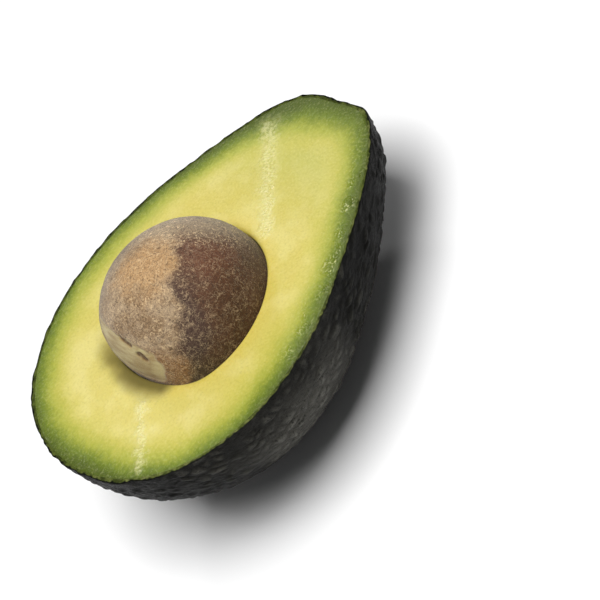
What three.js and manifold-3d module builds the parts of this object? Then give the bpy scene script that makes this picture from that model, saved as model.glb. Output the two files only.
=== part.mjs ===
// Half of a ripe avocado with its pit still in it, lying on its back with the cut face up.
// Millimetres. +X runs along the fruit towards the stem end and +Z is up. The origin is the
// centre of the small flat spot on the skin that the half rests on.
// The pieces are shaped in the fruit's own frame, where the cut face is the plane z = 0 and
// x = 0 is halfway along the fruit. A group then lays them down at the rest tilt.

import * as THREE from "three";
import { mergeVertices } from "three/addons/utils/BufferGeometryUtils.js";
import Module from "manifold-3d";

const wasm = await Module();
wasm.setup();

// ---------------------------------------------------------------- driving dimensions

const FRUIT_LENGTH = 100; // blunt end to stem end
const FRUIT_WIDTH = 72.5; // across the cut face where it is fullest
const BACK_DEPTH = 36; // cut face to the back of the skin where it is fullest
const SKIN_THICKNESS = 0.9;
const SKIN_GAP = 0.3; // between the skin and the flesh

// The rim's half width is sin(t) times a cosine series in t, the angle from the blunt end.
const RIM_SERIES = [1, 0.23, 0.03, -0.02, 0.02];
const DEPTH_TAPER = 0.07; // the stem end is this share deeper than the rim's width gives
const SWAY = 1.2; // how far each end leans to its side of the long axis

const DIMPLE_DEPTH = 2.2; // where the stem was
const DIMPLE_SPREAD = 6;
const DIMPLE_OFFSET = 2.4; // to the side of the long axis

const PIT_LENGTH = 40.6; // before its base is flattened
const PIT_WIDTH = 37;
const PIT_HEIGHT = 38.6;
const PIT_CENTRE = new THREE.Vector3(-8, -0.2, 0); // half of it stands above the cut face
const PIT_BASE = 17.6; // from the pit's centre to the middle of its flattened base, at the blunt end
const PIT_BASE_RADIUS = 34; // of the base's gentle dome
const PIT_BASE_OFFSET = 1.6; // the dome's middle, to the side of the pit's long axis
const PIT_BASE_ROUNDING = 1.6;
const PIT_GAP = 0.3; // between the pit and its hollow
const HOLLOW_ROOM = 0.5; // more than the gap, beyond the pit's base

const REST_TILT = THREE.MathUtils.degToRad(7); // the stem end lies this much lower
const REST_SPOT_DEPTH = 0.4; // how much of the back the flat spot takes

const FRUIT_AROUND = 56; // facets round the long axis
const FRUIT_ALONG = 36;
const PIT_AROUND = 40;
const PIT_ALONG = 24;
const CUTTER = 4 * FRUIT_LENGTH; // side of the blocks that stand for the knife and the table

// ---------------------------------------------------------------- colours

const COLOURS = {
  skin: { color: 0x1d1f1a, roughness: 0.62, metalness: 0 },
  flesh: { color: 0xd9cf6b, roughness: 0.38, metalness: 0 },
  pit: { color: 0x6e4a30, roughness: 0.72, metalness: 0 },
};

// ---------------------------------------------------------------- shapes

// Half width of the rim at the angle t, before it is scaled to the fruit's width.
function rimShape(t) {
  return Math.sin(t) * RIM_SERIES.reduce((sum, c, k) => sum + c * Math.cos(k * t), 0);
}

// The series' own fullest half width, which FRUIT_WIDTH and BACK_DEPTH are measured at.
function fullestRim() {
  const steps = 2000;
  let fullest = 0;
  for (let i = 0; i <= steps; i++) fullest = Math.max(fullest, rimShape((Math.PI * i) / steps));
  return fullest;
}

const FULLEST = fullestRim();

// The point of the fruit's surface in a direction from its middle, taken in by inset.
function fruitPoint(direction, inset) {
  const along = THREE.MathUtils.clamp(direction.x, -1, 1);
  const t = Math.acos(-along);
  const across = Math.hypot(direction.y, direction.z) || 1;
  const rim = rimShape(t) / FULLEST;
  const halfWidth = (FRUIT_WIDTH / 2 - inset) * rim;
  const halfDepth = (BACK_DEPTH - inset) * rim * (1 + DEPTH_TAPER * along);
  const x = (FRUIT_LENGTH / 2 - inset) * along;
  const y = (halfWidth * direction.y) / across - SWAY * along ** 3;
  const z = (halfDepth * direction.z) / across;
  const fromDimple = (y + SWAY - DIMPLE_OFFSET) ** 2 + z ** 2;
  const nearStem = Math.max(along, 0) ** 8;
  const dimple = DIMPLE_DEPTH * nearStem * Math.exp(-fromDimple / (2 * DIMPLE_SPREAD ** 2));
  return new THREE.Vector3(x - dimple, y, z);
}

// The point of the pit's surface in a direction from its centre, grown by grow all round.
// Its base is a gentle dome with a rounded edge, and the dome's middle is at the distance base.
function pitPoint(direction, grow, base) {
  const x = (PIT_LENGTH / 2 + grow) * direction.x;
  const y = (PIT_WIDTH / 2 + grow) * direction.y;
  const z = (PIT_HEIGHT / 2 + grow) * direction.z;
  const dome = base - ((y - PIT_BASE_OFFSET) ** 2 + z ** 2) / (2 * PIT_BASE_RADIUS);
  const past = Math.log1p(Math.exp((x + dome) / PIT_BASE_ROUNDING));
  return new THREE.Vector3(PIT_BASE_ROUNDING * past - dome, y, z).add(PIT_CENTRE);
}

// ---------------------------------------------------------------- solids

// A closed geometry as a solid that can be joined and cut.
function solidOf(geometry) {
  const bare = geometry.clone();
  bare.deleteAttribute("normal");
  bare.deleteAttribute("uv");
  const merged = mergeVertices(bare, 1e-4);
  return new wasm.Manifold(
    new wasm.Mesh({
      numProp: 3,
      vertProperties: merged.attributes.position.array,
      triVerts: new Uint32Array(merged.index.array),
    }),
  );
}

// A solid as a geometry for a mesh.
function geometryOf(solid) {
  const { vertProperties, triVerts } = solid.getMesh();
  const geometry = new THREE.BufferGeometry();
  geometry.setAttribute("position", new THREE.BufferAttribute(vertProperties, 3));
  geometry.setIndex(new THREE.BufferAttribute(triVerts, 1));
  geometry.computeVertexNormals();
  return geometry;
}

// A ball with its poles on the X axis, each of its points moved to where place puts it.
function shapedBall(around, along, place) {
  const ball = new THREE.SphereGeometry(1, around, along).rotateZ(-Math.PI / 2);
  const positions = ball.attributes.position;
  const direction = new THREE.Vector3();
  for (let i = 0; i < positions.count; i++) {
    direction.fromBufferAttribute(positions, i);
    const point = place(direction);
    positions.setXYZ(i, point.x, point.y, point.z);
  }
  return ball;
}

function fruit(inset) {
  return shapedBall(FRUIT_AROUND, FRUIT_ALONG, (direction) => fruitPoint(direction, inset));
}

function pit(grow, base) {
  return shapedBall(PIT_AROUND, PIT_ALONG, (direction) => pitPoint(direction, grow, base));
}

// Everything on the far side of the cut face.
function otherHalf() {
  return new THREE.BoxGeometry(CUTTER, CUTTER, CUTTER).translate(0, 0, CUTTER / 2);
}

// How high the lowest point of the laid-down fruit stands, in a frame turned by the rest tilt.
function lowestPoint(wholeFruit) {
  const turned = wholeFruit.clone().rotateY(REST_TILT);
  turned.computeBoundingBox();
  return turned.boundingBox.min.z;
}

// Everything below the surface that the half rests on, in the fruit's own frame.
function belowTable(height) {
  return new THREE.BoxGeometry(CUTTER, CUTTER, CUTTER)
    .translate(0, 0, height - CUTTER / 2)
    .rotateY(-REST_TILT);
}

// The centre of the solid's flat spot at that height, in the frame turned by the rest tilt.
function flatSpotCentre(solid, height) {
  const turned = geometryOf(solid).toNonIndexed().rotateY(REST_TILT);
  const positions = turned.attributes.position;
  const triangle = new THREE.Triangle();
  const middle = new THREE.Vector3();
  const centre = new THREE.Vector3();
  let area = 0;
  for (let i = 0; i < positions.count; i += 3) {
    triangle.setFromAttributeAndIndices(positions, i, i + 1, i + 2);
    const onTable = [triangle.a, triangle.b, triangle.c].every((p) => Math.abs(p.z - height) < 1e-3);
    if (!onTable) continue;
    centre.addScaledVector(triangle.getMidpoint(middle), triangle.getArea());
    area += triangle.getArea();
  }
  return centre.divideScalar(area);
}

// ---------------------------------------------------------------- pieces

const wholeFruit = fruit(0);
const tableHeight = lowestPoint(wholeFruit) + REST_SPOT_DEPTH;
const farHalf = solidOf(otherHalf());

const skinSolid = solidOf(wholeFruit)
  .subtract(solidOf(fruit(SKIN_THICKNESS)))
  .subtract(farHalf)
  .subtract(solidOf(belowTable(tableHeight)));

const fleshSolid = solidOf(fruit(SKIN_THICKNESS + SKIN_GAP))
  .subtract(farHalf)
  .subtract(solidOf(pit(PIT_GAP, PIT_BASE + PIT_GAP + HOLLOW_ROOM)));

function piece(name, geometry) {
  const mesh = new THREE.Mesh(geometry, new THREE.MeshStandardMaterial(COLOURS[name]));
  mesh.name = name;
  return mesh;
}

const half = new THREE.Group();
half.add(piece("skin", geometryOf(skinSolid)));
half.add(piece("flesh", geometryOf(fleshSolid)));
half.add(piece("pit", pit(0, PIT_BASE)));
half.rotation.y = REST_TILT;

const spot = flatSpotCentre(skinSolid, tableHeight);
half.position.set(-spot.x, -spot.y, -tableHeight);

const avocado = new THREE.Group();
avocado.add(half);

export default avocado;
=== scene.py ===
"""Looks of half an avocado with its pit, lying on its back on a pale floor.

The pieces are shaped in the fruit's own frame, as in the CAD model: the cut face is the plane
z = 0, x = 0 is halfway along the fruit and +X points to the stem end. Sizes there are in
millimetres. One matrix then turns them into metres and lays them down where the CAD model lies.
"""

import math

import bpy
import numpy as np
from mathutils import Matrix, Vector


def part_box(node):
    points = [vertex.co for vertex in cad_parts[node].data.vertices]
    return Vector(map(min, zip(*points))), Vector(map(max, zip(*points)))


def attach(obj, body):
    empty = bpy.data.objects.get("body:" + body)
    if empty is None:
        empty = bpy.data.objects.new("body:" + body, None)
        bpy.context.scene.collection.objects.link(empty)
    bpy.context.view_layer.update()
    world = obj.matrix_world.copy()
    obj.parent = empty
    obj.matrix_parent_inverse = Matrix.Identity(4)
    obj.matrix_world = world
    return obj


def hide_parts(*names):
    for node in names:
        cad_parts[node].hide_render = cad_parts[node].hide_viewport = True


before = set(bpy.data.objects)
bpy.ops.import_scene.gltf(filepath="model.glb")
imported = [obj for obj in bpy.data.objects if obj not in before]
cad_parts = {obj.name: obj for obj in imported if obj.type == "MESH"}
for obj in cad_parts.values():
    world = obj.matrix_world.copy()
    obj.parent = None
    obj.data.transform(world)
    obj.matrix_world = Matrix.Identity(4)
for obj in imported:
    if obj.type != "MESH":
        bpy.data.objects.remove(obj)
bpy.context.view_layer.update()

MM = 0.001

# ---------------------------------------------------------------- sizes of the fruit, in mm

FRUIT_LENGTH = 100
FRUIT_WIDTH = 72.5
BACK_DEPTH = 36
RIM_SERIES = (1, 0.23, 0.03, -0.02, 0.02)
DEPTH_TAPER = 0.07
SWAY = 1.2
DIMPLE_DEPTH = 2.2
DIMPLE_SPREAD = 6
DIMPLE_OFFSET = 2.4
REST_TILT = math.radians(7)

SKIN_THICKNESS = 0.9
SKIN_GAP = 0.02

PIT_LENGTH = 40.6
PIT_WIDTH = 37
PIT_HEIGHT = 38.6
PIT_CENTRE = np.array((-8, -0.2, 0))
PIT_BASE = 17.6
PIT_BASE_RADIUS = 34
PIT_BASE_OFFSET = 1.6
PIT_BASE_ROUNDING = 1.6
PIT_GAP = 0.12
HOLLOW_ROOM = 0.05

RIM_POINTS = 720  # round every ring that meets the cut face
CUBE_SIDE = RIM_POINTS // 4  # quads along one side of the skin's outer grid
PIT_SIDE = 120  # quads along one side of the pit's grid
OUTLINE_RINGS = 60  # on which the fruit's extent is measured
WELD_DISTANCE = 1e-6  # points of a sphere of radius 1 that are closer than this are one
STRAIGHT_DOWN = np.array([(0.0, 0.0, -1.0)])


# ---------------------------------------------------------------- noise, the same on every run

CELL_FACTORS = (374761393, 668265263, 1440662683)  # large odd numbers for x, y and z
SEED_FACTOR = 974634777
MIXING_ROUNDS = ((13, 1274126177), (16, 2246822519))  # how many bits to shift, then a factor
LAST_SHIFT = 15
LOW_32_BITS = 0xFFFFFFFF
LOW_24_BITS = 0xFFFFFF
LAYER_SEED_STEP = 11
LAYER_FADE = 0.5  # how strong each finer layer of noise is beside the one before it


def lattice_random(cells, seed):
    """A number from 0 to 1 for each integer cell, the last axis of cells being x, y, z."""
    mixed = seed * SEED_FACTOR
    for axis, factor in enumerate(CELL_FACTORS):
        mixed = mixed + cells[..., axis].astype(np.int64) * factor
    for shift, factor in MIXING_ROUNDS:
        mixed = (mixed ^ (mixed >> shift)) * factor & LOW_32_BITS
    return ((mixed ^ (mixed >> LAST_SHIFT)) & LOW_24_BITS) / LOW_24_BITS


def smooth_noise(points, size, seed):
    """Smooth noise from -1 to 1 whose lumps are about size across."""
    p = points / size
    base = np.floor(p)
    f = p - base
    f = f * f * f * (f * (f * 6 - 15) + 10)
    total = 0
    for corner in np.ndindex(2, 2, 2):
        weight = np.prod(np.where(corner, f, 1 - f), axis=-1)
        total = total + weight * lattice_random(base + corner, seed)
    return total * 2 - 1


def rough_noise(points, size, layers, seed):
    """Layers of smooth noise added up, each half the size of the last."""
    total = 0
    weights = [LAYER_FADE**k for k in range(layers)]
    for k, weight in enumerate(weights):
        total = total + weight * smooth_noise(points, size / 2**k, seed + LAYER_SEED_STEP * k)
    return total / sum(weights)


def noise_vectors(points, size, seed, axes=3):
    """Smooth noise for each axis, by which points are pushed about."""
    return np.stack([smooth_noise(points, size, seed + k) for k in range(axes)], -1)


def cell_distances(points, size, seed):
    """Distance to the nearest and the second nearest of scattered spots, as shares of size."""
    p = points / size
    base = np.floor(p)
    first = np.full(len(p), np.inf)
    second = np.full(len(p), np.inf)
    for step in np.ndindex(3, 3, 3):
        cell = base + np.array(step) - 1
        spot = cell + np.stack([lattice_random(cell, seed + k) for k in range(3)], -1)
        d = np.linalg.norm(spot - p, axis=-1)
        second = np.minimum(second, np.maximum(first, d))
        first = np.minimum(first, d)
    return first, second


def smooth_step(low, high, x):
    """0 where x is at or before low, 1 at or past high, smooth between; low may be the larger."""
    t = np.clip((x - low) / (high - low), 0, 1)
    return t * t * (3 - 2 * t)


# ---------------------------------------------------------------- the fruit's form

def rim_shape(t):
    """Half width of the rim at the angle t from the blunt end, before it is scaled."""
    return np.sin(t) * sum(c * np.cos(k * t) for k, c in enumerate(RIM_SERIES))


FULLEST = rim_shape(np.linspace(0, math.pi, 2001)).max()


def fruit_points(directions, inset=0.0):
    """The fruit's surface in each direction from its middle, taken in by inset."""
    along = np.clip(directions[:, 0], -1, 1)
    across = np.maximum(np.hypot(directions[:, 1], directions[:, 2]), 1e-9)
    rim = rim_shape(np.arccos(-along)) / FULLEST
    x = (FRUIT_LENGTH / 2 - inset) * along
    y = (FRUIT_WIDTH / 2 - inset) * rim * directions[:, 1] / across - SWAY * along**3
    depth = (BACK_DEPTH - inset) * rim * (1 + DEPTH_TAPER * along)
    z = depth * directions[:, 2] / across
    from_dimple = (y + SWAY - DIMPLE_OFFSET) ** 2 + z**2
    near_stem = np.maximum(along, 0) ** 8
    dimple = DIMPLE_DEPTH * near_stem * np.exp(-from_dimple / (2 * DIMPLE_SPREAD**2))
    return np.stack([x - dimple, y, z], -1)


def pit_points(directions, grow, base):
    """The pit's surface in each direction from its centre, its base a gentle dome."""
    radii = np.array((PIT_LENGTH, PIT_WIDTH, PIT_HEIGHT)) / 2 + grow
    p = directions * radii
    off_middle = (p[:, 1] - PIT_BASE_OFFSET) ** 2 + p[:, 2] ** 2
    dome = base - off_middle / (2 * PIT_BASE_RADIUS)
    past = np.log1p(np.exp((p[:, 0] + dome) / PIT_BASE_ROUNDING))
    p[:, 0] = PIT_BASE_ROUNDING * past - dome
    return p + PIT_CENTRE


def ring_directions(tilt):
    """Directions all round, tilt below the cut face. They match the cube grid's rim points."""
    step = np.arange(CUBE_SIDE) / CUBE_SIDE * 2 - 1
    side = np.tan(step * math.pi / 4)
    one = np.ones(CUBE_SIDE)
    corners = [(one, side), (-side, one), (-one, -side), (side, -one)]
    flat = np.concatenate([np.stack(c, -1) for c in corners])
    flat /= np.linalg.norm(flat, axis=1)[:, None]
    down = np.full((RIM_POINTS, 1), -math.sin(tilt))
    return np.concatenate([flat * math.cos(tilt), down], 1)


# ---------------------------------------------------------------- meshes

def lay_down():
    """From the fruit's frame in mm to the CAD model's frame in metres."""
    turn = Matrix.Rotation(REST_TILT, 4, "Y")
    rings = [ring_directions(a) for a in np.linspace(0, math.pi / 2, OUTLINE_RINGS)]
    points = fruit_points(np.concatenate(rings)) @ np.array(turn.to_3x3()).T
    low, high = points.min(0) * MM, points.max(0) * MM
    cad_low, cad_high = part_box("skin")
    middle = (np.array(cad_low) + np.array(cad_high) - low - high) / 2
    shift = Vector((middle[0], middle[1], cad_high.z - high[2]))
    return Matrix.Translation(shift) @ turn @ Matrix.Scale(MM, 4)


LAY = lay_down()


def join_rings(first):
    """Quads between rings of points numbered one after another; first is each ring's start."""
    k = np.arange(RIM_POINTS)
    after = (k + 1) % RIM_POINTS
    faces = [np.stack([a + k, a + after, b + after, b + k], -1) for a, b in zip(first, first[1:])]
    return np.concatenate(faces)


def make_piece(name, points, attributes, quads, triangles=()):
    """A smooth piece from points in the fruit's frame, laid down on the surface it rests on.

    place keeps each point's position in the fruit's frame, in mm, for the materials.
    """
    laid = points @ np.array(LAY.to_3x3()).T + np.array(LAY.translation)
    laid[:, 2] = np.maximum(laid[:, 2], 0)
    mesh = bpy.data.meshes.new(name)
    mesh.from_pydata(laid.tolist(), [], [*np.asarray(quads).tolist(), *triangles])
    mesh.shade_smooth()
    place = mesh.attributes.new("place", "FLOAT_VECTOR", "POINT")
    place.data.foreach_set("vector", points.astype(np.float32).ravel())
    for key, values in attributes.items():
        layer = mesh.attributes.new(key, "FLOAT", "POINT")
        layer.data.foreach_set("value", np.asarray(values, np.float32))
    piece = bpy.data.objects.new(name, mesh)
    bpy.context.scene.collection.objects.link(piece)
    return piece


def cube_sphere(side, half):
    """Directions and quads of a sphere gridded as a cube of side by side faces.

    With half, only the part below the cut face is kept, whose open edge is ring_directions(0).
    """
    step = np.arange(side + 1) / side * 2 - 1
    flat = np.tan(step * math.pi / 4)
    down = flat[: side // 2 + 1] if half else flat
    grids = []
    for x, y in ((1, 0), (0, 1), (-1, 0), (0, -1)):
        run, height = np.meshgrid(flat, down, indexing="ij")
        grids.append(np.stack([x - y * run, y + x * run, height], -1))
    run, across = np.meshgrid(flat, flat, indexing="ij")
    grids.append(np.stack([run, -across, 0 * run - 1], -1))
    if not half:
        grids.append(np.stack([run, across, 0 * run + 1], -1))
    points = []
    quads = []
    for grid in grids:
        rows, columns = grid.shape[:2]
        number = np.arange(rows * columns).reshape(rows, columns) + sum(map(len, points))
        corners = (number[:-1, :-1], number[1:, :-1], number[1:, 1:], number[:-1, 1:])
        quads.append(np.stack(corners, -1).reshape(-1, 4))
        points.append(grid.reshape(-1, 3))
    points = np.concatenate(points)
    points /= np.linalg.norm(points, axis=1)[:, None]
    return weld(points, np.concatenate(quads))


def keys_of(points):
    """Whole numbers that are the same for points that coincide."""
    return np.round(points / WELD_DISTANCE).astype(np.int64)


def weld(points, quads):
    """The same mesh with points that coincide made one."""
    unique = np.unique(keys_of(points), axis=0, return_index=True, return_inverse=True)
    first, number = unique[1:]
    return points[first], number.reshape(-1)[quads]


def match(points, wanted):
    """The number of the point at each wanted place."""
    number = {tuple(key): n for n, key in enumerate(keys_of(points).tolist())}
    return np.array([number[tuple(key)] for key in keys_of(wanted).tolist()])


def normals_of(points, quads):
    """The outward normal at each point of a grid of quads."""
    a, b, c, d = (points[quads[:, k]] for k in range(4))
    face = np.cross(c - a, d - b)
    total = np.zeros_like(points)
    for k in range(4):
        np.add.at(total, quads[:, k], face)
    return total / np.maximum(np.linalg.norm(total, axis=1), 1e-12)[:, None]


def close_bottom(last, bottom):
    """Triangles from the last ring's point numbers to the bottom point."""
    return [(int(a), int(b), bottom) for a, b in zip(last, np.roll(last, -1))]


# ---------------------------------------------------------------- skin

PEBBLE_SIZE = 2.5  # across the fruit; they are longer along it
PEBBLE_STRETCH = 1.45
PEBBLE_BEND = 0.8  # how far the creases wander
PEBBLE_HEIGHT = 0.64
PEBBLE_LEVEL = 0.7  # the share of that height that lies below the smooth skin
WRINKLE_STRETCH = 2.2
WRINKLE_HEIGHT = 0.06
LUMP_STRETCH = 1.8
LUMP_HEIGHT = 0.26
RIM_NICKS = 0.5  # how far the cut edge of the skin wanders in and out
RIM_CALM = 5  # below the cut face by this much, the pebbles have their full height
RIM_CLEARANCE = 0.04  # the pebbles stay this far below the cut face

# Where the skin's painted sheen fades out towards the two ends: first its end, then where it is
# full.
SHEEN_STEM_END = (36, 0)
SHEEN_BLUNT_END = (-54, -38)
SHEEN_BLUNT_SLOPE = 0.9  # at the blunt end it fades out sooner low down
SHEEN_MIDDLE = (-14, -15)  # along and up, where the near side is palest
SHEEN_RADII = (15, 10)
SHEEN_NEAR_SIDE = (8, -8)
SHEEN_ALL_OVER = 0.42
SHEEN_PATCHES = 0.14

EDGE_INSETS = (0.06, 0.3, 0.6, 0.85, SKIN_THICKNESS)  # rings across the skin's cut edge
EDGE_TILT = 0.0014  # of the ring just inside it, about 0.05 mm down
HIDDEN_TILTS = np.radians((8, 18, 30, 42, 54, 66, 78))  # rings where skin and flesh meet


def squeezed(points, factor):
    """The points squeezed along the fruit, so that noise at them is longer there by factor."""
    return points / np.array((factor, 1, 1))


def pebbles(points):
    """How far the skin stands out at each point, and how far each is out of the creases."""
    along = squeezed(points, PEBBLE_STRETCH)
    bent = along + PEBBLE_BEND * noise_vectors(along, 2.6, 40)
    first, second = cell_distances(bent, PEBBLE_SIZE, 3)
    crown = smooth_step(0.0, 0.75, second - first)
    away = smooth_step(0, -RIM_CALM, points[:, 2])
    strength = (0.65 + 0.5 * rough_noise(points, 8, 2, 21)) * (0.45 + 0.55 * away)
    wrinkle = 1 - np.abs(rough_noise(squeezed(points, WRINKLE_STRETCH), 1.7, 3, 5)) * 2.2
    lumps = rough_noise(squeezed(points, LUMP_STRETCH), 6, 2, 8)
    nicks = (0.35 - np.abs(rough_noise(points, 4, 2, 9))) * (1 - away)
    height = strength * (PEBBLE_HEIGHT * (crown - PEBBLE_LEVEL) + WRINKLE_HEIGHT * wrinkle)
    height = height + LUMP_HEIGHT * lumps + RIM_NICKS * nicks
    return height, crown * (0.75 + 0.25 * wrinkle)


def painted_sheen(points):
    """Painted sheen, standing for the floor's reflection: least at the two ends, most low on the
    near side.
    """
    x, y, z = points.T
    ends = smooth_step(*SHEEN_STEM_END, x)
    ends = ends * smooth_step(*SHEEN_BLUNT_END, x + SHEEN_BLUNT_SLOPE * z)
    along = (x - SHEEN_MIDDLE[0]) / SHEEN_RADII[0]
    up = (z - SHEEN_MIDDLE[1]) / SHEEN_RADII[1]
    low_side = np.exp(-(along**2) - up**2) * smooth_step(*SHEEN_NEAR_SIDE, y)
    share = SHEEN_ALL_OVER + (1 - SHEEN_ALL_OVER) * low_side
    return ends * share + SHEEN_PATCHES * rough_noise(points, 9, 3, 31)


def make_skin():
    directions, quads = cube_sphere(CUBE_SIDE, half=True)
    smooth = fruit_points(directions)
    outward = normals_of(smooth, quads)
    height, crown = pebbles(smooth)
    outer = smooth + outward * height[:, None]
    outer[:, 2] = np.minimum(outer[:, 2], -RIM_CLEARANCE)
    ring = ring_directions(0)
    rim = match(directions, ring)
    bulge = (outer[rim] - smooth[rim]) * (1, 1, 0)
    rings = []
    depth = []
    for inset in EDGE_INSETS:
        share = 1 - inset / SKIN_THICKNESS
        rings.append(fruit_points(ring, inset) + bulge * share)
        depth += [inset] * RIM_POINTS
    for tilt in (EDGE_TILT, *HIDDEN_TILTS):
        rings.append(fruit_points(ring_directions(tilt), SKIN_THICKNESS))
        depth += [SKIN_THICKNESS] * RIM_POINTS
    bottom = fruit_points(STRAIGHT_DOWN, SKIN_THICKNESS)
    points = np.concatenate([outer, *rings, bottom])
    starts = len(outer) + np.arange(len(rings)) * RIM_POINTS
    first = np.arange(RIM_POINTS) + starts[0]
    lip = np.stack([rim, np.roll(rim, -1), np.roll(first, -1), first], -1)
    inner = join_rings(starts)
    last = np.arange(RIM_POINTS) + starts[-1]
    attributes = {
        "crown": np.concatenate([crown, np.zeros(len(points) - len(outer))]),
        "painted_sheen": painted_sheen(points),
        "near_side": smooth_step(0, -12, points[:, 1]),
        "inset": np.concatenate([np.zeros(len(outer)), depth, [SKIN_THICKNESS]]),
    }
    all_quads = np.concatenate([quads, lip, inner])
    triangles = close_bottom(last, len(points) - 1)
    return make_piece("peel", points, attributes, all_quads, triangles)


# ---------------------------------------------------------------- flesh

FACE_RINGS = 104
FACE_CROWDING = 1.15  # the rings are a little closer together near the pit
FACE_REACH = 20  # about how far the rim is from the hollow
EDGE_RING = 0.05  # rings this close to the cut edge keep it crisp
LIP_DROP = 0.5  # the flesh rounds off into the hollow
LIP_WIDTH = 0.9
BASE_LIP_DROP = 0.65  # the same where the pit's base leaves a gap
BASE_LIP_WIDTH = 3.2
HOLLOW_TILTS = np.radians((3, 7, 12, 18, 26, 36, 48, 60, 72, 82))
HOLLOW_DEPTH = 19
FAR_OFF = 20.0  # stands for a distance that is too long to matter

WAVE_HEIGHT = 0.17
RIDGE_HEIGHT = 0.045
RIDGE_SPACING = 0.66  # marks of the knife, across the fruit
RIDGE_NORMAL = np.array((0.933, 0.361))
# Where the knife left strong ridges: two ends of a band on the cut face, and its half width.
RIDGE_BANDS = (((39, 15.5), (12, -7.5), 2.2), ((-28.5, -3.5), (-43.5, -17), 1.2))
GRAIN_HEIGHT = 0.02
RIM_GRAIN_HEIGHT = 0.03  # more of it near the rim

BASE_SHADE_WIDTH = 6  # beside the pit's base, brown shade is painted on the flesh
BASE_SHADE_FULL = 0.8  # this close to the hollow, all of it
BASE_SHADE_WANDER = 1.2
BASE_SHADE_SIDE = (-11.5, -7)  # across the fruit, where the painted shade starts and where it is full
# The wet patches also get glints painted on their grain.
WET_DIRECTION = -62  # the wet patches' middle and half width round the face, in degrees
WET_WIDTH = 36
RIM_BAND = 13  # how far in from the rim the flesh changes colour

# Humps round the face, each with its direction and half width in degrees, and its height.
# Here the height is how many mm further in from the rim the green reaches.
GREEN_REACH = (
    (14, 16, 1.6),
    (36, 26, 1.4),
    (106, 35, -0.8),
    (180, 20, 1.7),
    (222, 24, -0.6),
    (262, 24, 1.0),
    (324, 30, 1.3),
)
GREEN_HELD_BACK = 0.95  # and how many mm less it reaches all round
# Here it is the share by which distances from the rim count less.
GREEN_SOFTNESS = ((-35, 36, 0.32), (18, 18, 0.24))


def band_share(points, start, end, half_width, taper=0.12):
    """1 on the line from start to end, falling off by half_width and over taper at the ends."""
    start, end = np.array(start, float), np.array(end, float)
    line = end - start
    t = np.clip((points[:, :2] - start) @ line / (line @ line), 0, 1)
    off = np.linalg.norm(points[:, :2] - start - t[:, None] * line, axis=1)
    fade = smooth_step(0, taper, t) * smooth_step(0, taper, 1 - t)
    return np.exp(-((off / half_width) ** 2)) * fade


def face_relief(points, rim_distance):
    """The cut face's fine relief of waves, knife ridges and moist grain, and the ridges' share."""
    waves = WAVE_HEIGHT * rough_noise(points, 12, 2, 60)
    phase = points[:, :2] @ RIDGE_NORMAL / RIDGE_SPACING + 0.9 * smooth_noise(points, 3, 61)
    ridges = np.sin(2 * math.pi * phase)
    jagged = points + noise_vectors(points, 1.1, 66)
    strong = sum(band_share(jagged, *band) for band in RIDGE_BANDS)
    patchy = 0.5 + 0.5 * smooth_noise(points, 1.6, 62)
    grain = smooth_noise(points, 1.5, 63)
    near_rim = 1 - smooth_step(1, 8, rim_distance)
    grain_height = GRAIN_HEIGHT + RIM_GRAIN_HEIGHT * near_rim
    relief = waves + ridges * RIDGE_HEIGHT * strong * patchy + grain * grain_height
    return relief, strong * (0.85 + 0.15 * ridges)


def direction_round(points):
    """The direction from the fruit's middle in degrees, from 0 at the stem end."""
    return np.degrees(np.arctan2(points[:, 1], points[:, 0]))


def humps_round(points, humps):
    """Smooth humps added up, each given by its direction, half width and height."""
    total = 0
    for middle, width, height in humps:
        off = (direction_round(points) - middle + 180) % 360 - 180
        total = total + height * np.exp(-((off / width) ** 2))
    return total


def green_reach(points):
    """How much further the green reaches in from the rim."""
    return humps_round(points, GREEN_REACH) - GREEN_HELD_BACK


def green_softness(points):
    """Less than 1 where the green fades into yellow more slowly, on each side of the stem end."""
    return 1 - humps_round(points, GREEN_SOFTNESS)


def glisten(points, rim_distance):
    """Where the flesh is wet and has glints painted on it: patches along the rim on one side."""
    side = np.exp(-(((direction_round(points) - WET_DIRECTION) / WET_WIDTH) ** 4))
    band = smooth_step(0.3, 1.5, rim_distance) * smooth_step(7.5, 3.5, rim_distance)
    return side * band * smooth_step(-0.25, 0.35, rough_noise(points, 3.5, 2, 71))


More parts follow.
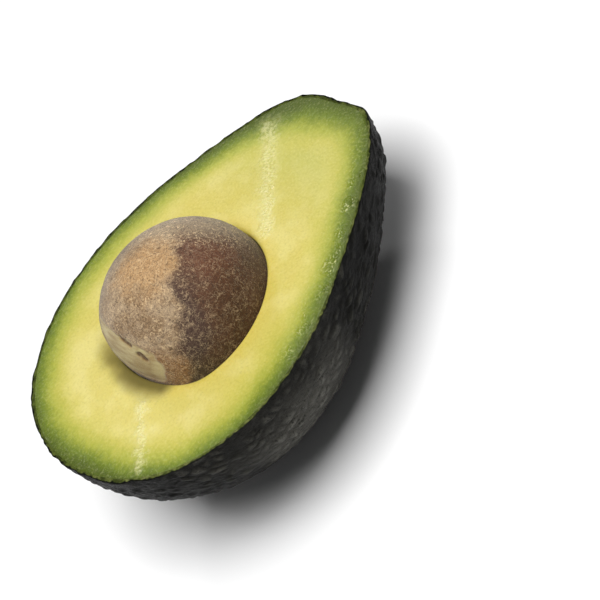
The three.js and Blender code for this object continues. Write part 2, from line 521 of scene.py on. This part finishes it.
def make_flesh():
    ring = ring_directions(0)
    facing_base = smooth_step(0.35, 0.95, -ring[:, 0])
    drop = LIP_DROP + (BASE_LIP_DROP - LIP_DROP) * facing_base
    width = LIP_WIDTH + (BASE_LIP_WIDTH - LIP_WIDTH) * facing_base
    start_tilt = np.arcsin(drop / (PIT_HEIGHT / 2))

    def hollow_ring(tilt):
        down = start_tilt + (math.pi / 2 - start_tilt) * tilt / (math.pi / 2)
        level = ring * np.cos(down)[:, None]
        level[:, 2] = -np.sin(down)
        return pit_points(level, PIT_GAP, PIT_BASE + HOLLOW_ROOM)

    lip = hollow_ring(0.0)
    inset = SKIN_THICKNESS + SKIN_GAP
    rim = fruit_points(ring, inset)
    reach = np.linalg.norm((rim - lip)[:, :2], axis=1)
    tilts = (*HIDDEN_TILTS[::-1], EDGE_RING / (FRUIT_WIDTH / 2))
    rings = [fruit_points(ring_directions(tilt), inset) for tilt in tilts]
    hidden = len(rings) * RIM_POINTS
    rim_distance = [np.zeros(hidden)]
    hollow_distance = [np.full(hidden, FAR_OFF)]
    strong = [np.zeros(hidden)]
    painted_base_shade = [np.zeros(hidden)]
    wet_and_glints = [np.zeros(hidden)]
    steps = (np.arange(FACE_RINGS + 1) / FACE_RINGS).tolist()
    for step in (0, EDGE_RING / FACE_REACH, *steps[1:]):
        share = (1 - step) ** FACE_CROWDING
        level = lip + (rim - lip) * share
        level[:, 2] = 0
        from_lip = reach * share
        from_rim = reach * (1 - share)
        relief, band = face_relief(level, from_rim)
        level[:, 2] = relief * smooth_step(0, 0.6, from_lip) * smooth_step(0, 0.35, from_rim)
        round_off = np.clip(1 - from_lip / width, 0, 1)
        level[:, 2] -= drop * (1 - np.sqrt(1 - round_off**2))
        rings.append(level)
        rim_distance.append(from_rim * green_softness(level))
        hollow_distance.append(from_lip)
        strong.append(band)
        wet_and_glints.append(glisten(level, from_rim))
        wandering = from_lip + BASE_SHADE_WANDER * rough_noise(level, 4, 2, 73)
        one_side = smooth_step(*BASE_SHADE_SIDE, level[:, 1])
        painted_base_shade.append(facing_base * one_side * smooth_step(BASE_SHADE_WIDTH, BASE_SHADE_FULL, wandering))
    for tilt in HOLLOW_TILTS:
        rings.append(hollow_ring(tilt))
        rim_distance.append(np.full(RIM_POINTS, FAR_OFF))
        hollow_distance.append(np.full(RIM_POINTS, -HOLLOW_DEPTH * math.sin(tilt)))
        strong.append(np.zeros(RIM_POINTS))
        painted_base_shade.append(facing_base)
        wet_and_glints.append(np.zeros(RIM_POINTS))
    below = fruit_points(STRAIGHT_DOWN, inset)
    pit_bed = pit_points(STRAIGHT_DOWN, PIT_GAP, PIT_BASE + HOLLOW_ROOM)
    points = np.concatenate([*rings, below, pit_bed])
    starts = np.arange(len(rings)) * RIM_POINTS
    quads = join_rings(starts)
    outside = np.arange(RIM_POINTS)
    inside = outside + starts[-1]
    triangles = close_bottom(outside[::-1], len(points) - 2)
    triangles += close_bottom(inside, len(points) - 1)
    attributes = {
        "rim_distance": np.concatenate([*rim_distance, [0, FAR_OFF]]),
        "hollow_distance": np.concatenate([*hollow_distance, [FAR_OFF, -HOLLOW_DEPTH]]),
        "knife": np.concatenate([*strong, [0, 0]]),
        "along": points[:, 0],
        "green_reach": green_reach(points),
        "painted_base_shade": np.concatenate([*painted_base_shade, [0, 0]]),
        "glisten": np.concatenate([*wet_and_glints, [0, 0]]),
    }
    return make_piece("pulp", points, attributes, quads, triangles)


# ---------------------------------------------------------------- pit

SWELL_HEIGHT = 0.22
DENT_HEIGHT = 0.07
FIBRE_HEIGHT = 0.055
COAT_THICKNESS = 0.22
# The pale part of the base, where the coat is missing: an oval given across and up.
SCAR_MIDDLE = (-0.6, 7.0)
SCAR_RADII = (9.6, 5.9)
SCAR_SLOPE = 0.17
SCAR_SQUARENESS = 2.4  # 2 would make it an ellipse
SCAR_RAGGEDNESS = 0.14
BASE_EDGE = (-8, -12)  # along the pit, where its base starts and where it is all base
# Cracks in the base: two ends given across and up, and the half width.
CRACKS = (((0.2, 13.1), (-4.8, 10.3), 0.65), ((-4.3, 10.1), (-7.3, 6.8), 0.65))
CRACK_DEPTH = 0.3

# Where the seed coat's colours are, from the pit's centre.
PIT_SPLIT_NORMAL = np.array((0.62, -0.71, -0.33))  # towards its dark side
PIT_SPLIT_OFFSET = 1.8
PIT_CREST = np.array((0.81, 0.31, 0.5))  # towards its top, painted paler there as sheen and darker on its low side as shade
PIT_AWAY_FROM_VIEW = np.array((0.15, 0.71, -0.69))  # away from the camera; turned this way, the coat is painted greyer as sheen
PIT_BARE = np.array((0.5, -2.0, 19.0))  # where it is worn to a lighter orange
PIT_RUSSET = np.array((10.0, -10.4, 12.8))  # where it is redder
PIT_DUSK = ((-1.8, -10.4, 15.8), (-6.5, -15.5, 8.0))  # the line along which it is darkest


def from_line(points, start, end):
    """Distance to the line between two points."""
    start, end = np.array(start), np.array(end)
    line = end - start
    t = np.clip((points - start) @ line / (line @ line), 0, 1)
    return np.linalg.norm(points - start - t[:, None] * line, axis=1)


def crack_share(local, start, end, half_width):
    """1 in the middle of a crack in the pit's base, whose ends are given across and up."""
    bent = local[:, [1, 2]] + 0.35 * noise_vectors(local, 1.5, 90, axes=2)
    return smooth_step(0.15, 0.75, band_share(bent, start, end, half_width, 0.3))


def make_pit():
    directions, quads = cube_sphere(PIT_SIDE, half=False)
    smooth = pit_points(directions, 0, PIT_BASE)
    outward = normals_of(smooth, quads)
    local = smooth - PIT_CENTRE
    rough_edge = rough_noise(local, 3.2, 3, 80)
    across = (local[:, 1] - SCAR_MIDDLE[0]) / SCAR_RADII[0]
    up = (local[:, 2] - SCAR_MIDDLE[1] - SCAR_SLOPE * local[:, 1]) / SCAR_RADII[1]
    powers = np.abs(across) ** SCAR_SQUARENESS + np.abs(up) ** SCAR_SQUARENESS
    from_middle = powers ** (1 / SCAR_SQUARENESS) + SCAR_RAGGEDNESS * rough_edge
    on_base = smooth_step(*BASE_EDGE, local[:, 0])
    scar = on_base * smooth_step(1.05, 0.95, from_middle)
    crack = sum(crack_share(local, *c) for c in CRACKS) * on_base
    fibre = rough_noise(local, 1.1, 3, 81)
    swell = rough_noise(local, 15, 2, 82)
    dents = rough_noise(local, 4, 2, 83)
    height = SWELL_HEIGHT * swell + DENT_HEIGHT * dents + FIBRE_HEIGHT * fibre * (1 - scar)
    height = height - COAT_THICKNESS * scar - CRACK_DEPTH * crack
    points = smooth + outward * height[:, None]
    attributes = {
        "scar": scar,
        "crack": np.clip(crack, 0, 1),
        "split": local @ PIT_SPLIT_NORMAL - PIT_SPLIT_OFFSET,
        "crest": local @ PIT_CREST,
        "bare": np.linalg.norm(local - PIT_BARE, axis=1),
        "russet": np.linalg.norm(local - PIT_RUSSET, axis=1),
        "dusk": from_line(local, *PIT_DUSK),
        "facing_away": outward @ PIT_AWAY_FROM_VIEW,
    }
    return make_piece("stone", points, attributes, quads)


# ---------------------------------------------------------------- materials

def paint(red, green, blue):
    """A screen colour, each part from 0 to 255, as the linear colour that shaders take.

    The numbers in it are those of the sRGB curve.
    """
    parts = [c / 255 for c in (red, green, blue)]
    return tuple(c / 12.92 if c < 0.04045 else ((c + 0.055) / 1.055) ** 2.4 for c in parts) + (1,)


# The Mix node's sockets when it mixes colours: the share, the first and the second colour.
MIX_COLOUR_INPUTS = (0, 6, 7)
MIX_COLOUR_OUTPUT = 2


class Shading:
    """One material's nodes, made by short calls that each give an output socket."""

    def __init__(self, name):
        self.material = bpy.data.materials.new(name)
        self.material.use_nodes = True
        self.tree = self.material.node_tree
        self.shader = self.tree.nodes["Principled BSDF"]
        self.place = self.attribute("place", "Vector")

    def node(self, kind, **settings):
        made = self.tree.nodes.new("ShaderNode" + kind)
        for key, value in settings.items():
            setattr(made, key, value)
        return made

    def put(self, socket, value):
        if isinstance(value, bpy.types.NodeSocket):
            self.tree.links.new(value, socket)
        else:
            socket.default_value = value

    def attribute(self, name, output="Fac"):
        return self.node("Attribute", attribute_name=name).outputs[output]

    def moved(self, stretch, shift):
        mapping = self.node("Mapping")
        self.put(mapping.inputs["Vector"], self.place)
        mapping.inputs["Scale"].default_value = stretch
        mapping.inputs["Location"].default_value = (shift, shift, shift)
        return mapping.outputs["Vector"]

    def noise(self, size, detail, roughness=0.5, stretch=(1, 1, 1), shift=0.0, bend=0.0):
        """Noise from 0 to 1, mostly near 0.5, whose lumps are about size across, in mm."""
        made = self.node("TexNoise")
        self.put(made.inputs["Vector"], self.moved(stretch, shift))
        made.inputs["Scale"].default_value = 1 / size
        made.inputs["Detail"].default_value = detail
        made.inputs["Roughness"].default_value = roughness
        made.inputs["Distortion"].default_value = bend
        return made.outputs["Fac"]

    def about_zero(self, noise, reach):
        """Noise from 0 to 1 as a number that goes half of reach to each side of 0."""
        return self.math("MULTIPLY", self.math("SUBTRACT", noise, 0.5), reach)

    def fibres(self, size, width, shift):
        """Short tangled lines, 1 along their middles and 0 between them."""
        level = self.noise(size, 1, bend=1.2, shift=shift)
        off = self.math("ABSOLUTE", self.math("SUBTRACT", level, 0.5))
        line = self.spread(off, 0, width, 1, 0)
        broken = self.spread(self.noise(1.3, 1, shift=-shift), 0.38, 0.52)
        return self.math("MULTIPLY", line, broken)

    def math(self, operation, a, b=0.0, clamp=False):
        made = self.node("Math", operation=operation, use_clamp=clamp)
        self.put(made.inputs[0], a)
        self.put(made.inputs[1], b)
        return made.outputs[0]

    def spread(self, value, low, high, out_low=0.0, out_high=1.0):
        """out_low where value is low, out_high where it is high, smooth between, level beyond."""
        made = self.node("MapRange", interpolation_type="SMOOTHSTEP")
        for socket, number in zip(made.inputs, (value, low, high, out_low, out_high)):
            self.put(socket, number)
        return made.outputs[0]

    def blend(self, share, a, b):
        """The colour a where share is 0, and b where it is 1."""
        made = self.node("Mix", data_type="RGBA")
        factor, start, end = (made.inputs[k] for k in MIX_COLOUR_INPUTS)
        self.put(factor, share)
        self.put(start, a)
        self.put(end, b)
        return made.outputs[MIX_COLOUR_OUTPUT]

    def ramp(self, value, stops):
        """The colours of the stops, each given by its position from 0 to 1 and its colour."""
        made = self.node("ValToRGB")
        elements = made.color_ramp.elements
        while len(elements) < len(stops):
            elements.new(0.5)
        for element, (position, colour) in zip(elements, stops):
            element.position = position
            element.color = colour
        self.put(made.inputs[0], value)
        return made.outputs[0]

    def bump(self, height, distance_mm, strength):
        made = self.node("Bump")
        made.inputs["Strength"].default_value = strength
        made.inputs["Distance"].default_value = distance_mm * MM
        self.put(made.inputs["Height"], height)
        return made.outputs[0]

    def finish(self, **inputs):
        """Set the shader's sockets, named with _ for a space, and give the material."""
        for key, value in inputs.items():
            self.put(self.shader.inputs[key.replace("_", " ")], value)
        return self.material


def peel_material():
    m = Shading("peel")
    crown = m.attribute("crown")
    inset = m.attribute("inset")
    patches = m.noise(13, 4, 0.65)
    grain = m.noise(1.2, 4, 0.7)
    specks = m.noise(0.5, 3, 0.7)
    pale = m.attribute("painted_sheen")

    # Pebbles, with highlights painted on their tops and shade painted in the creases between them,
    # each paler where the painted sheen is.
    patchy = m.spread(patches, 0.38, 0.6)
    share = m.spread(pale, 0.3, 1.0, 0, 0.95)
    base = m.blend(patchy, paint(36, 36, 31), paint(49, 48, 42))
    base = m.blend(share, base, paint(106, 105, 98))
    painted_top_highlight = m.blend(patchy, paint(46, 46, 40), paint(62, 60, 54))
    painted_top_highlight = m.blend(share, painted_top_highlight, paint(113, 111, 104))
    painted_crease_shade = m.blend(share, paint(9, 9, 7), paint(78, 76, 70))
    relief = m.math("MULTIPLY", crown, m.spread(grain, 0.35, 0.65, 0.7, 1.3))
    dark = m.blend(m.spread(relief, -0.1, 0.85), painted_crease_shade, base)
    dark = m.blend(m.spread(relief, 0.5, 1.1), dark, painted_top_highlight)

    # Dark specks all over, and the skin darker towards the ends, where the painted sheen is least.
    dark = m.blend(m.spread(specks, 0.52, 0.35, 0, 0.75), dark, paint(10, 10, 8))
    dark = m.blend(m.spread(pale, 0.35, 0.0, 0, 0.85), dark, paint(9, 9, 7))

    # The green of the cut edge, with a ragged pale highlight painted on it on the near side.
    edge = m.math("MULTIPLY", inset, m.spread(m.noise(1.3, 2), 0.35, 0.65, 0.5, 1.4))
    olive = m.spread(m.noise(1.6, 3, shift=3), 0.4, 0.62)
    green = m.blend(olive, paint(58, 66, 26), paint(88, 98, 42))
    ragged = m.spread(m.noise(2.0, 4, 0.7, shift=8), 0.44, 0.66)
    edge_highlight = m.math("MULTIPLY", ragged, m.attribute("near_side"))
    green = m.blend(m.math("MULTIPLY", edge_highlight, 0.45), green, paint(150, 152, 96))
    colour = m.blend(m.spread(edge, 0.15, 0.42), dark, green)

    fine = m.noise(0.6, 4, 0.75, stretch=(0.7, 1, 1))
    return m.finish(
        Base_Color=colour,
        Roughness=m.spread(specks, 0.3, 0.7, 0.34, 0.5),
        Specular_IOR_Level=0.045,
        Normal=m.bump(fine, 0.5, 1.0),
    )


def pulp_material():
    m = Shading("pulp")
    rim = m.attribute("rim_distance")
    hollow = m.attribute("hollow_distance")
    knife = m.attribute("knife")
    along = m.attribute("along")

    # From green at the rim to yellow, by a depth that wanders a little.
    broad = m.about_zero(m.noise(9, 2), 3.0)
    blotch = m.about_zero(m.noise(1.3, 3, 0.6), 3.0)
    reach = m.attribute("green_reach")
    depth = m.math("SUBTRACT", m.math("ADD", m.math("ADD", rim, broad), blotch), reach)
    colour = m.ramp(m.math("DIVIDE", depth, RIM_BAND, clamp=True), (
        (0.0, paint(76, 90, 22)),
        (0.08, paint(88, 103, 26)),
        (0.18, paint(106, 122, 34)),
        (0.28, paint(134, 144, 46)),
        (0.42, paint(166, 168, 66)),
        (0.6, paint(188, 181, 82)),
        (0.78, paint(198, 187, 90)),
        (1.0, paint(201, 187, 94)),
    ))

    # Paler blotches and blunt end, a greener stem end, and a warmer ring round the hollow.
    deep = m.spread(depth, 6, 12)
    blunt = m.spread(along, -12, -34, 0, 0.25)
    pale = m.math("ADD", m.spread(m.noise(11, 3, 0.6), 0.42, 0.62, 0, 0.45), blunt)
    colour = m.blend(m.math("MULTIPLY", pale, deep), colour, paint(220, 209, 136))
    stem = m.math("MULTIPLY", m.spread(along, 12, 42, 0, 0.9), deep)
    colour = m.blend(stem, colour, paint(174, 173, 76))
    ring = m.spread(hollow, 0, 5, 0.6, 0)
    colour = m.blend(ring, colour, paint(204, 182, 78))

    # The fine grain, with pale specks painted on it as glints, most where the flesh is wet, and
    # highlights painted along the knife's streaks.
    grain = m.noise(0.6, 3, 0.65)
    glisten = m.attribute("glisten")
    painted_glint_share = m.math("ADD", m.math("MULTIPLY", glisten, 0.8), 0.12)
    specks = m.math("MULTIPLY", m.spread(grain, 0.5, 0.68), painted_glint_share)
    colour = m.blend(m.math("MINIMUM", specks, 0.85), colour, paint(226, 226, 160))
    shaded = m.blend(0.35, colour, paint(70, 80, 10))
    colour = m.blend(m.spread(grain, 0.5, 0.3, 0, 0.35), colour, shaded)
    # Pale streaks painted as the highlight off the knife's ridges.
    painted_streak_highlight = m.math("MULTIPLY", knife, m.spread(m.noise(0.7, 2, shift=4), 0.35, 0.6, 0.3, 0.7))
    colour = m.blend(painted_streak_highlight, colour, paint(236, 231, 168))

    # Brown shade painted beside the pit's base, where the flesh is also made rougher, and the
    # inside of the hollow.
    painted_base_shade = m.attribute("painted_base_shade")
    colour = m.blend(m.math("MULTIPLY", painted_base_shade, 0.95), colour, paint(96, 85, 32))
    colour = m.blend(m.spread(hollow, 0.0, -3.0), colour, paint(178, 154, 78))
    moist = m.math("ADD", m.math("ADD", m.spread(rim, 9, 1.5, 0.12, 0.4), knife), glisten)
    dry = m.math("MULTIPLY", painted_base_shade, 0.45)
    return m.finish(
        Base_Color=colour,
        Roughness=m.math("ADD", m.spread(moist, 0.2, 0.9, 0.36, 0.22), dry),
        Specular_IOR_Level=0.4,
        Subsurface_Weight=0.2,
        Subsurface_Radius=(1.0, 0.7, 0.25),
        Subsurface_Scale=0.0015,
        Normal=m.bump(m.math("MULTIPLY", grain, moist), 0.6, 0.8),
    )


def stone_material():
    m = Shading("stone")
    ragged = m.about_zero(m.noise(6, 5, 0.65), 13.0)

    def wandering(name, share):
        return m.math("ADD", m.attribute(name), m.math("MULTIPLY", ragged, share))

    split = wandering("split", 1.0)
    crest = wandering("crest", 0.4)
    bare = wandering("bare", 1.0)
    russet = wandering("russet", 0.6)
    dusk = wandering("dusk", 0.5)

    # The tan side and the brown side of the coat, with shade painted on their low side.
    blotch = m.noise(5, 4, 0.65)
    tan = m.blend(m.spread(blotch, 0.38, 0.6), paint(138, 111, 80), paint(170, 146, 116))
    tan = m.blend(m.spread(bare, 10, 3, 0, 0.9), tan, paint(188, 148, 100))
    # Darker orange low down: painted shade.
    tan = m.blend(m.spread(crest, -6, -12.5, 0, 0.85), tan, paint(134, 88, 38))
    brown = m.blend(m.spread(split, 1, 11), paint(98, 67, 49), paint(76, 45, 13))
    brown = m.blend(m.spread(blotch, 0.42, 0.62, 0, 0.3), brown, paint(108, 68, 44))
    # Darker low down: painted shade.
    brown = m.blend(m.spread(crest, -4, -13, 0, 0.8), brown, paint(54, 40, 18))
    brown = m.blend(m.spread(russet, 8, 1, 0, 0.35), brown, paint(128, 74, 46))
    brown = m.blend(m.spread(dusk, 6.5, 1.5, 0, 0.6), brown, paint(56, 45, 42))
    colour = m.blend(m.spread(split, -1.6, 1.2), tan, brown)
    # Greyer towards the outline on the tan side: painted sheen at grazing angles.
    facing_away = m.spread(m.attribute("facing_away"), -0.5, -0.1, 0, 0.6)
    grazing_sheen = m.math("MULTIPLY", facing_away, m.spread(split, 3, -3))
    colour = m.blend(grazing_sheen, colour, paint(114, 100, 84))
    # Paler along the top: painted sheen.
    colour = m.blend(m.spread(crest, 13.5, 18.5, 0, 0.7), colour, paint(172, 152, 120))

    # Fine mottling and fibres, dark and light.
    deep = m.blend(0.75, colour, paint(44, 28, 16))
    # How pale the light mottles and fibres are: more on the tan side, and more along the top as
    # painted sheen.
    fibre_paleness_and_top_sheen = m.math("ADD", m.spread(split, -2, 3, 0.5, 0.3), m.spread(crest, 11, 15, 0, 0.4))
    light = m.blend(fibre_paleness_and_top_sheen, colour, paint(236, 206, 160))
    mottle = m.noise(0.42, 4, 0.8)
    colour = m.blend(m.spread(mottle, 0.52, 0.38, 0, 0.8), colour, deep)
    colour = m.blend(m.spread(mottle, 0.55, 0.68, 0, 0.4), colour, light)
    colour = m.blend(m.math("MULTIPLY", m.fibres(1.5, 0.03, 7), 0.8), colour, deep)
    pale_fibres = m.math("MAXIMUM", m.fibres(0.9, 0.035, 2), m.fibres(1.5, 0.03, 5))
    colour = m.blend(pale_fibres, colour, light)
    fleck = m.math("ADD", mottle, m.math("MULTIPLY", pale_fibres, 0.2))

    # The pale scar on the base, and the cracks in it.
    grain = m.noise(2.4, 4, 0.6, stretch=(1, 0.3, 1))
    pale = m.blend(m.spread(grain, 0.38, 0.68), paint(204, 188, 140), paint(166, 138, 90))
    # The scar darker low down: painted shade.
    pale = m.blend(m.spread(crest, -9, -15, 0, 0.25), pale, paint(150, 122, 74))
    colour = m.blend(m.attribute("scar"), colour, pale)
    broken = m.spread(m.noise(0.8, 2, shift=6), 0.3, 0.6, 0.7, 1)
    crack = m.math("MULTIPLY", m.attribute("crack"), broken)
    colour = m.blend(crack, colour, paint(94, 64, 28))
    return m.finish(
        Base_Color=colour,
        Roughness=m.spread(mottle, 0.3, 0.7, 0.62, 0.8),
        Specular_IOR_Level=0.3,
        Sheen_Weight=0.2,
        Sheen_Roughness=0.45,
        Normal=m.bump(fleck, 0.22, 0.8),
    )


def floor_material():
    m = Shading("floor")
    return m.finish(Base_Color=FLOOR_COLOUR, Roughness=0.9)


# ---------------------------------------------------------------- stage

# The camera's place and direction in the fruit's own frame, in mm: the fruit's middle is a
# little left of the picture's centre, and the long axis climbs to the right.
VIEW_BACK = Vector((-0.1489, -0.714, 0.6842))
VIEW_UP = Vector((0.8068, 0.3123, 0.5015))
VIEW_DISTANCE = 697
VIEW_RIGHT_OF_FRUIT = 19.06
VIEW_ABOVE_FRUIT = -4.36
LENS = 196.9
CLIP = (0.01, 20)  # in metres

# In metres and watts, in the CAD model's frame.
FLOOR_HALF_SIDE = 2.5
FLOOR_COLOUR = (0.93, 0.93, 0.93, 1)
SKY_STRENGTH = 0.1
LIGHT_DISTANCE = 1.0
LIGHT_AIM = Vector((0, 0, 0.03))
KEY_DIRECTION = Vector((0.0, -0.2, 0.98))
KEY_SIZE = 0.65
KEY_POWER = 13.3
GLINT_SLOPE = 0.14  # the slope of a knife ridge that sends the small light to the camera
GLINT_SIZE = 0.12
GLINT_POWER = 0.9


def make_camera():
    back = VIEW_BACK.normalized()
    right = VIEW_UP.cross(back).normalized()
    up = back.cross(right)
    place = back * VIEW_DISTANCE + right * VIEW_RIGHT_OF_FRUIT + up * VIEW_ABOVE_FRUIT
    data = bpy.data.cameras.new("camera")
    data.lens = LENS
    data.clip_start, data.clip_end = CLIP
    camera = bpy.data.objects.new("camera", data)
    bpy.context.scene.collection.objects.link(camera)
    turn = LAY.to_3x3().normalized() @ Matrix((right, up, back)).transposed()
    camera.matrix_world = Matrix.Translation(LAY @ place) @ turn.to_4x4()
    bpy.context.scene.camera = camera


def make_light(name, direction, size, power):
    data = bpy.data.lights.new(name, "AREA")
    data.shape = "SQUARE"
    data.size = size
    data.energy = power
    light = bpy.data.objects.new(name, data)
    light.location = LIGHT_AIM + direction.normalized() * LIGHT_DISTANCE
    light.rotation_euler = direction.to_track_quat("Z", "Y").to_euler()
    bpy.context.scene.collection.objects.link(light)


def make_stage():
    half = FLOOR_HALF_SIDE
    mesh = bpy.data.meshes.new("floor")
    corners = [(-half, -half, 0), (half, -half, 0), (half, half, 0), (-half, half, 0)]
    mesh.from_pydata(corners, [], [(0, 1, 2, 3)])
    mesh.materials.append(floor_material())
    floor = bpy.data.objects.new("floor", mesh)
    bpy.context.scene.collection.objects.link(floor)
    world = bpy.data.worlds.new("studio")
    world.use_nodes = True
    background = world.node_tree.nodes["Background"]
    background.inputs["Color"].default_value = (1, 1, 1, 1)
    background.inputs["Strength"].default_value = SKY_STRENGTH
    bpy.context.scene.world = world
    bpy.context.scene.view_settings.view_transform = "Standard"
    make_light("key", KEY_DIRECTION, KEY_SIZE, KEY_POWER)
    glint_normal = Vector((*(GLINT_SLOPE * c for c in RIDGE_NORMAL), 1)).normalized()
    back = VIEW_BACK.normalized()
    glint = LAY.to_3x3().normalized() @ (2 * glint_normal.dot(back) * glint_normal - back)
    make_light("glint", glint, GLINT_SIZE, GLINT_POWER)


# ---------------------------------------------------------------- the half

for node, make, material in (
    ("skin", make_skin, peel_material),
    ("flesh", make_flesh, pulp_material),
    ("pit", make_pit, stone_material),
):
    piece = make()
    piece.data.materials.append(material())
    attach(piece, "root")
    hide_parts(node)

make_camera()
make_stage()
